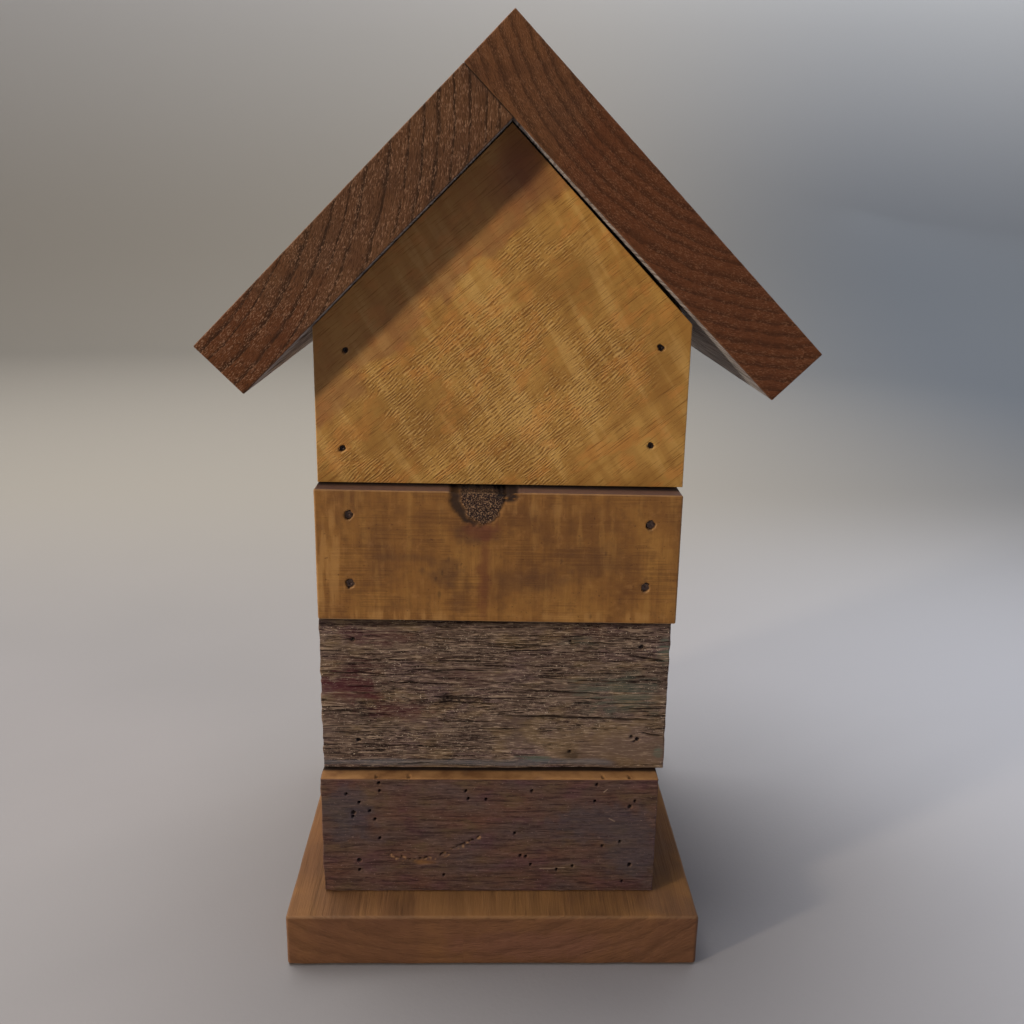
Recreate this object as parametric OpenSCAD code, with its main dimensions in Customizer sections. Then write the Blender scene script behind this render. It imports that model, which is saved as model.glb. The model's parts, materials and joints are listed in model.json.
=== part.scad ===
// Rustic gabled birdhouse built from reclaimed boards, entrance hole in the front (+Y) gable end.
// Millimetres, +Z up. Origin at the centre of the base plank's underside; X is the width.
// The rear end faces -Y and is closed by a gable panel and three stacked boards of mixed stock.

/* [Base plank] */
// width of the base plank, left to right
base_w = 139.7; // [134:0.1:170]
// length of the base plank, rear to front
base_d = 152.4; // [145:0.1:190]
// thickness of the base plank
base_t = 19; // [16:0.5:25]

/* [Side walls] */
// width of the house measured over the two side walls
body_w = 114; // [104:1:124]
// how far the house sits to the right of the base plank's centre line
body_x = 1; // [-2:0.5:2]
// thickness of the side walls
wall_t = 19; // [17:0.5:22]
// width of each side wall board, rear to front
wall_d = 88.9; // [84:0.1:96]
// height from the base to the roof's underside at the outer wall faces
wall_h = 197.7; // [194:0.1:205]

/* [Rear boards] */
// thickness of the gable panels and of the weathered middle board
thin_t = 12; // [10:0.5:14]
// thickness of the rear upper board, the one with the knot
upper_t = 20; // [16:0.5:22]
// thickness of the rear lower board, the one with the insect holes
lower_t = 19; // [16:0.5:22]
// height of the rear lower board
lower_h = 43.9; // [36:0.1:48]
// height of the rear middle board at its left end
middle_h = 57.6; // [50:0.1:60]
// height of the rear upper board
upper_h = 43.3; // [38:0.1:44]
// drop of the rear upper board's right end, which was nailed on slightly askew
upper_drop = 1; // [0:0.1:1.5]
// clearance between the rear gable's right edge and the roof at the lower corner
gable_gap = 1.9; // [0.5:0.1:3]

/* [Front boards] */
// thickness of the front entrance and lower boards
front_t = 19; // [16:0.5:20]
// height of the front lower board
front_lower_h = 56; // [48:0.5:62]
// diameter of the entrance hole
hole_d = 32; // [28:0.5:38]
// height of the entrance hole's centre above the base
hole_h = 108; // [98:0.5:116]

/* [Roof] */
// thickness of both roof boards
roof_t = 20; // [16:0.5:22]
// length of the roof's outer face from the ridge down to the eave
roof_w = 132.4; // [128:0.1:145]
// length of the roof along the ridge
roof_d = 144; // [136:0.5:165]
// how far the roof stands out past the rear gable panel
roof_rear = 12.5; // [8:0.5:15]
// how far the ridge sits to the right of the house's centre line
ridge_x = 2; // [-2:0.5:2]

/* [Fasteners] */
// shank diameter of the brads
brad_d = 1.2; // [1:0.1:1.4]
// shank diameter of the finish nails
nail_d = 1.9; // [1.6:0.1:2.2]
// head diameter of the finish nails
nail_head_d = 2.6; // [2.4:0.1:3]
// shank diameter of the base screws
screw_d = 4.2; // [3.5:0.1:4.5]
// head diameter of the base screws
screw_head_d = 8.4; // [7.5:0.1:9]

/* [Hidden] */
$fn = 32;

// clearance around every fastener shank and head
fit = 0.05;
// how far the nail and brad heads are punched below the surface
set = 0.9;
// height of a nail or brad head
head_h = 0.9;
// outer wall faces
x_left = body_x - body_w / 2;
x_right = body_x + body_w / 2;
// rear and front faces of the side walls; the body is set back a little more at the rear
y_rear = -(base_d / 2) + 20.9 + thin_t;
y_front = y_rear + wall_d;
// ridge line: x of the ridge, z of the roof's inner and outer corners
x_ridge = body_x + ridge_x;
z_inner = base_t + wall_h + body_w / 2;
z_ridge = z_inner + roof_t * sqrt(2);
// rear and front ends of the roof boards
y_roof = y_rear - thin_t - roof_rear;
// levels of the joints between the rear boards, at the left end
z_low = base_t + lower_h;
z_mid = z_low + 0.3 + middle_h;
z_up = z_mid + upper_h;
// level of the joint between the front entrance board and the front gable panel
z_front = z_up;
// x of the nail lines, at the middle of each side wall
x_nail = body_w / 2 - wall_t / 2;
// one step of length 1 along a 45 degree slope
s45 = sqrt(0.5);
// finish nail and brad lengths, and the screw length
nail_l = 44;
brad_l = 32;
roof_nail_l = 38;
screw_l = 41;

// [x, z] of the fasteners, measured from the house's centre line and the base's top face
rear_gable_at = [[-48.5, 187.3], [-50.2, 156.2], [49, 189.2], [47.5, 158.2]];
rear_upper_at = [[-47.9, 136.8], [-47.8, 114], [47.5, 134.3], [46.7, 113.4]];
rear_middle_at = [[-48.6, 91.5], [-47.4, 54.6], [47.6, 89.2], [47.9, 55.2]];
rear_lower_at = [[-48.8, 31], [-47.2, 12.5], [45.6, 33.5], [46.4, 10.8]];
front_gable_at = [[-48, 186], [-47.5, 157], [48, 187], [47.3, 156]];
front_entrance_at = [[-47.5, 132], [-47.6, 74], [47.4, 131], [47.6, 73]];
front_lower_at = [[-47.4, 42], [-47.6, 14], [47.5, 43], [47.4, 13]];
// y of the fasteners in the roof and base, from the middle of the side walls; the screws clear the nails
ridge_at = [-52, 2, 55];
roof_at = [-36, 1, 37];
screw_at = [-14, 14];

// a board lying in the XZ plane, from y0 to y1
module slab(points, y0, y1) {
  translate([0, y1, 0]) rotate([90, 0, 0]) linear_extrude(y1 - y0) polygon(points);
}

// nail or brad pointing down, head top at z = 0
module nail(d, hd, l) {
  rotate_extrude()
    polygon([[0, -0.25], [hd / 4, 0], [hd / 2, 0], [hd / 2, -head_h * 0.5], [d / 2, -head_h],
      [d / 2, 1.5 * d - l], [0, -l]]);
}

// hole for that nail, with the punched mouth above its head
module nail_hole(d, hd, l) {
  translate([0, 0, -head_h - fit]) cylinder(h = head_h + fit + 4, r = hd / 2 + fit);
  translate([0, 0, -l - 0.5]) cylinder(h = l, r = d / 2 + fit);
}

// flat-head wood screw pointing down, head top at z = 0
module wood_screw() {
  difference() {
    rotate_extrude()
      polygon([[0, 0], [screw_head_d / 2, 0], [screw_head_d / 2, -0.4],
        [screw_d / 2, -0.4 - (screw_head_d - screw_d) / 2], [screw_d / 2, 5 - screw_l],
        [0, -screw_l]]);
    for (a = [0, 90]) rotate([0, 0, a]) translate([-2.2, -0.5, -1.6]) cube([4.4, 1, 3]);
  }
}

// countersunk hole for that screw
module screw_hole() {
  translate([0, 0, -screw_l - 0.5]) cylinder(h = screw_l, r = screw_d / 2 + fit);
  rotate_extrude()
    polygon([[0, 4], [screw_head_d / 2 + fit, 4], [screw_head_d / 2 + fit, -0.45],
      [screw_d / 2 + fit, -0.45 - (screw_head_d - screw_d) / 2], [0, -4.5]]);
}

// places children at each rear fastener, pointing into the wall from the face at y
module at_rear(places, y) {
  for (p = places) translate([body_x + p[0], y + set, base_t + p[1]]) rotate([90, 0, 0]) children();
}

// the same from the front
module at_front(places, y) {
  for (p = places) translate([body_x + p[0], y - set, base_t + p[1]]) rotate([-90, 0, 0]) children();
}

// places children on the roof's outer face, s down the slope; side is -1 for left, 1 for right
module at_roof(places, s, side) {
  for (p = places)
    translate([x_ridge + side * (s - set) * s45, (y_rear + y_front) / 2 + p, z_ridge - (s + set) * s45])
      rotate([0, 45 * side, 0]) children();
}

// places children under the base at the four screw positions
module at_base() {
  for (x = [body_x - x_nail, body_x + x_nail], y = screw_at)
    translate([x, (y_rear + y_front) / 2 + y, 0.4]) rotate([180, 0, 0]) children();
}

// distance down the slope of the nails into the side walls, 5 mm inside the wall's outer face
function wall_nail_s(side) = (body_w / 2 - 5 - side * ridge_x) / s45 + roof_t;

module rear_gable_holes() {
  at_rear(rear_gable_at, y_rear - thin_t) nail_hole(brad_d, 1.9, brad_l);
}
module rear_upper_holes() {
  at_rear(rear_upper_at, y_rear - upper_t) nail_hole(nail_d, nail_head_d, nail_l);
}
module rear_middle_holes() {
  at_rear(rear_middle_at, y_rear - thin_t) nail_hole(brad_d, 1.9, brad_l);
}
module rear_lower_holes() {
  at_rear(rear_lower_at, y_rear - lower_t) nail_hole(brad_d, 1.9, brad_l);
}
module front_gable_holes() {
  at_front(front_gable_at, y_front + thin_t) nail_hole(brad_d, 1.9, brad_l);
}
module front_entrance_holes() {
  at_front(front_entrance_at, y_front + front_t) nail_hole(nail_d, nail_head_d, nail_l);
}
module front_lower_holes() {
  at_front(front_lower_at, y_front + front_t) nail_hole(nail_d, nail_head_d, nail_l);
}
module ridge_holes() { at_roof(ridge_at, roof_t / 2, 1) nail_hole(nail_d, nail_head_d, nail_l); }
module roof_holes(side) {
  at_roof(roof_at, wall_nail_s(side), side) nail_hole(nail_d, nail_head_d, roof_nail_l);
}

module base_plank() {
  color([0.46, 0.27, 0.13]) difference() {
    translate([-base_w / 2, -base_d / 2, 0]) cube([base_w, base_d, base_t]);
    at_base() screw_hole();
  }
}

// side wall with its top bevelled to the roof's slope; side is -1 for left, 1 for right
module side_wall(side) {
  outer = body_x + side * body_w / 2;
  inner = outer - side * wall_t;
  difference() {
    slab([[outer, base_t], [inner, base_t], [inner, z_inner - abs(inner - x_ridge)],
      [outer, z_inner - abs(outer - x_ridge)]], y_rear, y_front);
    rear_gable_holes();
    rear_upper_holes();
    rear_middle_holes();
    rear_lower_holes();
    front_gable_holes();
    front_entrance_holes();
    front_lower_holes();
    roof_holes(side);
    at_base() screw_hole();
  }
}

module left_side_wall() { color([0.55, 0.35, 0.17]) side_wall(-1); }
module right_side_wall() { color([0.52, 0.33, 0.16]) side_wall(1); }

// pentagonal panel under the roof; its right edge is cut short and leaves a wedge-shaped gap
module rear_gable_panel() {
  xl = body_x - body_w / 2 - 1.35;
  xr = body_x + body_w / 2 + 1.35;
  color([0.62, 0.43, 0.20]) difference() {
    slab([[xl, z_up + 0.2], [xr, z_up + 0.3 - upper_drop * 0.7],
      [xr, z_inner - (xr - x_ridge) - gable_gap], [x_ridge, z_inner - 0.5],
      [xl, z_inner - (x_ridge - xl) - 0.2]], y_rear - thin_t, y_rear);
    rear_gable_holes();
  }
}

module rear_upper_board() {
  xl = body_x - body_w / 2 - 1.5;
  xr = body_x + body_w / 2 + 0.3;
  color([0.55, 0.35, 0.16]) difference() {
    slab([[xl, z_mid], [xr, z_mid - upper_drop], [xr, z_up - upper_drop], [xl, z_up]],
      y_rear - upper_t, y_rear);
    rear_upper_holes();
  }
}

module rear_middle_board() {
  xl = body_x - body_w / 2 - 2.8;
  xr = body_x + body_w / 2 + 0.6;
  color([0.38, 0.32, 0.27]) difference() {
    slab([[xl, z_low + 0.3], [xr, z_low + 0.3], [xr, z_mid - upper_drop - 0.2], [xl, z_mid - 0.1]],
      y_rear - thin_t, y_rear);
    rear_middle_holes();
  }
}

module rear_lower_board() {
  color([0.28, 0.21, 0.20]) difference() {
    translate([body_x - body_w / 2 - 2.9, y_rear - lower_t, base_t]) cube([body_w + 1.1, lower_t, lower_h]);
    rear_lower_holes();
  }
}

module front_gable_panel() {
  xl = body_x - body_w / 2 - 0.8;
  xr = body_x + body_w / 2 + 0.8;
  color([0.60, 0.42, 0.20]) difference() {
    slab([[xl, z_front + 0.2], [xr, z_front + 0.2], [xr, z_inner - (xr - x_ridge) - 0.4],
      [x_ridge, z_inner - 0.4], [xl, z_inner - (x_ridge - xl) - 0.4]], y_front, y_front + thin_t);
    front_gable_holes();
  }
}

module front_entrance_board() {
  z0 = base_t + front_lower_h + 0.2;
  color([0.53, 0.34, 0.16]) difference() {
    translate([body_x - body_w / 2 - 0.8, y_front, z0]) cube([body_w + 1.6, front_t, z_front - z0]);
    front_entrance_holes();
    translate([body_x, y_front - 1, base_t + hole_h]) rotate([-90, 0, 0])
      cylinder(h = front_t + 2, d = hole_d, $fn = 64);
  }
}

module front_lower_board() {
  color([0.36, 0.30, 0.26]) difference() {
    translate([body_x - body_w / 2 - 0.8, y_front, base_t]) cube([body_w + 1.6, front_t, front_lower_h]);
    front_lower_holes();
  }
}

// right roof board, which runs up to the ridge and covers the left board's upper end
module roof_right_board() {
  color([0.34, 0.19, 0.13]) difference() {
    translate([x_ridge, y_roof, z_ridge]) rotate([0, 45, 0]) translate([0, 0, -roof_t])
      cube([roof_w, roof_d, roof_t]);
    ridge_holes();
    roof_holes(1);
  }
}

// left roof board, butted against the right board's underside
module roof_left_board() {
  color([0.33, 0.22, 0.16]) difference() {
    translate([x_ridge, y_roof, z_ridge]) rotate([0, -45, 0]) translate([-roof_w, 0, -roof_t])
      cube([roof_w - roof_t, roof_d, roof_t]);
    ridge_holes();
    roof_holes(-1);
  }
}

module rear_gable_brads() {
  color([0.35, 0.33, 0.31]) at_rear(rear_gable_at, y_rear - thin_t) nail(brad_d, 1.9, brad_l);
}
module rear_upper_nails() {
  color([0.45, 0.44, 0.43]) at_rear(rear_upper_at, y_rear - upper_t) nail(nail_d, nail_head_d, nail_l);
}
module rear_middle_brads() {
  color([0.30, 0.27, 0.25]) at_rear(rear_middle_at, y_rear - thin_t) nail(brad_d, 1.9, brad_l);
}
module rear_lower_brads() {
  color([0.30, 0.27, 0.25]) at_rear(rear_lower_at, y_rear - lower_t) nail(brad_d, 1.9, brad_l);
}
module front_gable_brads() {
  color([0.35, 0.33, 0.31]) at_front(front_gable_at, y_front + thin_t) nail(brad_d, 1.9, brad_l);
}
module front_entrance_nails() {
  color([0.45, 0.44, 0.43]) at_front(front_entrance_at, y_front + front_t) nail(nail_d, nail_head_d, nail_l);
}
module front_lower_nails() {
  color([0.45, 0.44, 0.43]) at_front(front_lower_at, y_front + front_t) nail(nail_d, nail_head_d, nail_l);
}
module ridge_nails() {
  color([0.45, 0.44, 0.43]) at_roof(ridge_at, roof_t / 2, 1) nail(nail_d, nail_head_d, nail_l);
}
module roof_left_nails() {
  color([0.45, 0.44, 0.43]) at_roof(roof_at, wall_nail_s(-1), -1) nail(nail_d, nail_head_d, roof_nail_l);
}
module roof_right_nails() {
  color([0.45, 0.44, 0.43]) at_roof(roof_at, wall_nail_s(1), 1) nail(nail_d, nail_head_d, roof_nail_l);
}
module base_screws() { color([0.60, 0.55, 0.40]) at_base() wood_screw(); }

base_plank();
left_side_wall();
right_side_wall();
rear_gable_panel();
rear_upper_board();
rear_middle_board();
rear_lower_board();
front_gable_panel();
front_entrance_board();
front_lower_board();
roof_left_board();
roof_right_board();
rear_gable_brads();
rear_upper_nails();
rear_middle_brads();
rear_lower_brads();
front_gable_brads();
front_entrance_nails();
front_lower_nails();
ridge_nails();
roof_left_nails();
roof_right_nails();
base_screws();
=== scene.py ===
import json
import math

import bpy
import numpy as np
from mathutils import Matrix, Vector


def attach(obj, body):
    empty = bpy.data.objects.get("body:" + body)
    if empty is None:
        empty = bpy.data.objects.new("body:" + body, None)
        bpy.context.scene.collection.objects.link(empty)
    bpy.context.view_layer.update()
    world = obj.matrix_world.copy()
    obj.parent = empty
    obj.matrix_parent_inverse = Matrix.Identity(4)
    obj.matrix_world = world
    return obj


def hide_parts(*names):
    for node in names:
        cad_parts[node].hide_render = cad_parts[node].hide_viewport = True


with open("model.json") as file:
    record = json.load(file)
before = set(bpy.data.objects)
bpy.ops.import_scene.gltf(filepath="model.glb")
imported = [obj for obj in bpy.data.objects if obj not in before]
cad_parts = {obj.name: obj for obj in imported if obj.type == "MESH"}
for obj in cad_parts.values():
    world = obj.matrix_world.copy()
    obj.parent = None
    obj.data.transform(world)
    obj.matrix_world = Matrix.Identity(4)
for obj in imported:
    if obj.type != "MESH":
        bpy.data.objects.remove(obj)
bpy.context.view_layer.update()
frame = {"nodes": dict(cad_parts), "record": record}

MM = 0.001
SLOPE = math.sqrt(0.5)
SAW_LEAN = 39  # how far above level the gable panels' saw marks climb, in degrees

# Each board's own axes in the row frame: u across its face, v up its face, n out of its face.
REAR = ((1, 0, 0), (0, 0, 1), (0, -1, 0))
FRONT = ((-1, 0, 0), (0, 0, 1), (0, 1, 0))
LEFT = ((0, -1, 0), (0, 0, 1), (-1, 0, 0))
RIGHT = ((0, 1, 0), (0, 0, 1), (1, 0, 0))
FLAT = ((1, 0, 0), (0, 1, 0), (0, 0, 1))
ROOF_LEFT = ((-SLOPE, 0, -SLOPE), (0, -1, 0), (-SLOPE, 0, SLOPE))
ROOF_RIGHT = ((SLOPE, 0, -SLOPE), (0, 1, 0), (SLOPE, 0, SLOPE))


# ---------------------------------------------------------------- noise and marks, in millimetres

def smooth(x):
    """0 below 0, 1 above 1, and an S-curve between."""
    x = np.clip(x, 0, 1)
    return x * x * (3 - 2 * x)


def noise(u, v, seed):
    """Smooth noise from -1 to 1 with one bump per unit."""
    table = np.random.default_rng(seed).uniform(-1, 1, (256, 256))
    i = np.floor(u).astype(int)
    j = np.floor(v).astype(int)
    s = smooth(u - i)
    t = smooth(v - j)
    low = table[i % 256, j % 256] * (1 - s) + table[(i + 1) % 256, j % 256] * s
    high = table[i % 256, (j + 1) % 256] * (1 - s) + table[(i + 1) % 256, (j + 1) % 256] * s
    return low * (1 - t) + high * t


def rough(u, v, seed, layers=3):
    """Layers of noise, each twice as fine and half as strong as the one before."""
    return sum(noise(u * 2**k + 17 * k, v * 2**k, seed + k) / 2**k for k in range(layers))


def spot(u, v, at, radius, edge=0.35):
    """1 inside a round spot, falling to 0 across its edge."""
    return smooth((radius - np.hypot(u - at[0], v - at[1])) / edge + 0.5)


def blot(u, v, at, size, seed=0):
    """A soft uneven patch of about size = (width, height), 1 in its middle."""
    away = np.hypot((u - at[0]) / (size[0] / 2), (v - at[1]) / (size[1] / 2))
    return smooth(1.35 - away + 0.3 * rough(u / 3, v / 3, seed + 50))


def crack(u, v, start, end, width, seed):
    """1 along a wandering line that tapers to a point at both ends."""
    run = np.subtract(end, start)
    length = np.hypot(*run)
    along = ((u - start[0]) * run[0] + (v - start[1]) * run[1]) / length**2
    across = ((v - start[1]) * run[0] - (u - start[0]) * run[1]) / length
    across = across - 0.35 * noise(along * length / 4, seed + 0.5, seed)
    taper = np.clip(1 - (2 * along - 1) ** 4, 0, 1)
    half = width / 2 * taper * (1 + 0.4 * noise(along * length / 2, seed + 0.5, seed + 1))
    return np.clip(1 - np.abs(across) / np.maximum(half, 0.05), 0, 1) ** 0.6 * (taper > 0)


def trail(u, v, places, width):
    """1 along a line through several places."""
    nearest = np.full(u.shape, 1e3)
    for a, b in zip(places, places[1:]):
        run = np.subtract(b, a)
        along = np.clip(((u - a[0]) * run[0] + (v - a[1]) * run[1]) / (run @ run), 0, 1)
        nearest = np.minimum(nearest, np.hypot(u - a[0] - along * run[0], v - a[1] - along * run[1]))
    return smooth((width / 2 - nearest) / 0.35 + 0.5)


# ---------------------------------------------------------------- boards

def local(node, axes):
    """A CAD node's corners in a board's own axes, in millimetres."""
    points = np.array([vertex.co for vertex in frame["nodes"][node].data.vertices]) / MM
    return points @ np.array(axes).T


def heads(node, axes):
    """The place (u, v) of each nail or brad head in a fastener node."""
    points = local(node, axes)[:, :2]
    places = []
    while len(points):
        near = np.hypot(*(points - points[0]).T) < 6
        places.append((points[near].min(0) + points[near].max(0)) / 2)
        points = points[~near]
    return places


def grid_lines(low, high, step, arris, through=()):
    """Cuts across one side of a board: step apart, closer in the arrises, and at each place in through."""
    bends = arris * (1 - np.tan(np.radians((45, 30, 15))))
    lines = np.linspace(low + arris, high - arris, 1 + max(1, round((high - low - 2 * arris) / step)))
    for place in through:
        lines[np.argmin(np.abs(lines - place))] = place
    return np.concatenate((low + bends, lines, (high - bends)[::-1]))


def skin(solid):
    """The outward quads on the surface of a block of solid and empty cells, as numbers of grid corners."""
    number = np.arange(np.prod(np.array(solid.shape) + 1)).reshape(np.array(solid.shape) + 1)
    padded = np.pad(solid, 1)
    quads = []
    for axis in range(3):
        cells = np.moveaxis(padded, axis, 0)[:, 1:-1, 1:-1]
        corner = np.moveaxis(number, axis, 0)
        k, i, j = np.nonzero(cells[1:] != cells[:-1])
        quad = (corner[k, i, j], corner[k, i + 1, j], corner[k, i + 1, j + 1], corner[k, i, j + 1])
        quad = np.stack(quad, 1)
        outward = cells[k, i, j] ^ (axis == 1)
        quads.append(np.where(outward[:, None], quad, quad[:, ::-1]))
    return np.concatenate(quads)


def outline(points, low, high):
    """How a board's bottom and top edges run: a function of (u, n) that gives v at both edges."""
    peak = points[np.argmax(points[:, 1]), 0]
    stations = sorted({low[0], high[0], peak if low[0] + 1 < peak < high[0] - 1 else low[0]})
    ends = np.zeros((2, len(stations), 2))
    for side, n in enumerate((low[2], high[2])):
        for k, u in enumerate(stations):
            here = points[(np.abs(points[:, 0] - u) < 0.05) & (np.abs(points[:, 2] - n) < 0.05), 1]
            ends[side, k] = (here.min(), here.max()) if len(here) else (low[1], high[1])
        ends[side, :, 0] = np.interp(stations, (low[0], high[0]), ends[side, (0, -1), 0])

    def edges(u, n):
        share = (n - low[2]) / (high[2] - low[2])
        inner = [np.interp(u, stations, ends[0, :, k]) for k in (0, 1)]
        outer = [np.interp(u, stations, ends[1, :, k]) for k in (0, 1)]
        return [a * (1 - share) + b * share for a, b in zip(inner, outer)]

    return edges


def board(node, axes, material, detail, steps, arris=0.6, nails=(), pit=1.5, hole=None):
    """A fine closed mesh with rounded arrises that replaces a board's CAD node.

    detail(u, v, n, out) gives how deep each point is worn in and the masks that the material reads.
    steps are the mesh's spacings along u, v and n. nails are fastener nodes whose heads lie at the
    bottom of pits of that radius. hole is (u, v, radius) of a round hole right through.
    """
    points = local(node, axes)
    low, high = points.min(0), points.max(0)
    edges = outline(points, low, high)
    through = ((), ()) if hole is None else [(hole[k] - hole[2], hole[k] + hole[2]) for k in (0, 1)]
    lines = [grid_lines(low[0], high[0], steps[0], arris, through[0]),
             grid_lines(low[1], high[1], steps[1], arris, through[1]),
             grid_lines(low[2], high[2], steps[2], arris)]
    solid = np.ones([len(line) - 1 for line in lines], bool)
    if hole is not None:
        inside = [(line[:-1] + line[1:]) / 2 for line in lines[:2]]
        inside = [np.abs(middle - hole[k]) < hole[2] for k, middle in enumerate(inside)]
        solid[np.ix_(*inside)] = False
    used, quads = np.unique(skin(solid), return_inverse=True)
    quads = quads.reshape(-1, 4)
    where = np.unravel_index(used, [len(line) for line in lines])
    p = np.stack([line[k] for line, k in zip(lines, where)], 1)

    core = np.clip(p, low + arris, high - arris)
    out = p - core
    length = np.linalg.norm(out, axis=1, keepdims=True)
    out = out / np.maximum(length, 1e-9)
    p = np.where(length > 1e-9, core + arris * out, p)

    if hole is not None:
        du, dv = p[:, 0] - hole[0], p[:, 1] - hole[1]
        ring = np.maximum(np.abs(du), np.abs(dv))
        pull = smooth(2 - ring / hole[2]) * (ring / np.maximum(np.hypot(du, dv), 1e-9) - 1)
        p[:, 0] += du * pull
        p[:, 1] += dv * pull
    places = [place for fastener in nails for place in heads(fastener, axes)]
    share = (p[:, 1] - low[1]) / (high[1] - low[1])
    bottom, top = edges(p[:, 0], p[:, 2])
    if hole is None:
        p[:, 1] = bottom + share * (top - bottom)

    u, v, n = p.T
    depth, masks = detail(u, v, n, out)
    # Painted highlight: the arris mask lightens the rounded edges; below, the pit rims (on their lower right)
    # and the hole's edge add to it.
    masks["arris"] = np.clip((1 - (out**4).sum(1)) * 2, 0, 1)
    dark = masks.setdefault("dark", np.zeros(len(u)))
    face = np.clip(out[:, 2], 0, 1)
    for at in places:
        ragged = pit * (1 + 0.25 * noise(u / 0.8, v / 0.8, 91))
        dent = spot(u, v, at, ragged, 0.5) * face
        rim = spot(u, v, at, ragged + 0.45, 0.4) * face - dent
        depth = depth + 1.6 * dent
        dark[:] = np.maximum(dark, smooth(dent * 1.4) * 0.95)
        # painted highlight on the lower-right rim of each pit, the side a lamp at upper left lights
        masks["arris"] = np.maximum(masks["arris"], rim * smooth(0.3 + (u - at[0] - v + at[1]) / pit / 3))
    if hole is not None:
        away = np.hypot(u - hole[0], v - hole[1]) - hole[2]
        depth = depth + 0.8 * smooth(1 - away / 1.2) * np.clip(np.abs(out[:, 2]), 0, 1)
        masks["arris"] = np.maximum(masks["arris"], smooth(1 - away / 1.5) * 0.8)
    p = p - out * np.maximum(depth, 0)[:, None]

    mesh = bpy.data.meshes.new(node + "_look")
    mesh.from_pydata((p @ np.array(axes) * MM).tolist(), [], quads.tolist())
    for name, values in masks.items():
        mesh.attributes.new(name, "FLOAT", "POINT").data.foreach_set("value", values.astype(np.float32))
    mesh.shade_smooth()
    mesh.set_sharp_from_angle(angle=math.radians(55))
    mesh.materials.append(material)
    piece = bpy.data.objects.new(node + "_look", mesh)
    bpy.context.scene.collection.objects.link(piece)
    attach(piece, "root")
    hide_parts(node)
    return piece


# ---------------------------------------------------------------- material trees

def stain(red, green, blue):
    """A colour given as 0 to 255 on screen."""
    values = [c / 255 for c in (red, green, blue)]
    return [c / 12.92 if c < 0.04045 else ((c + 0.055) / 1.055) ** 2.4 for c in values] + [1]


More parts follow.
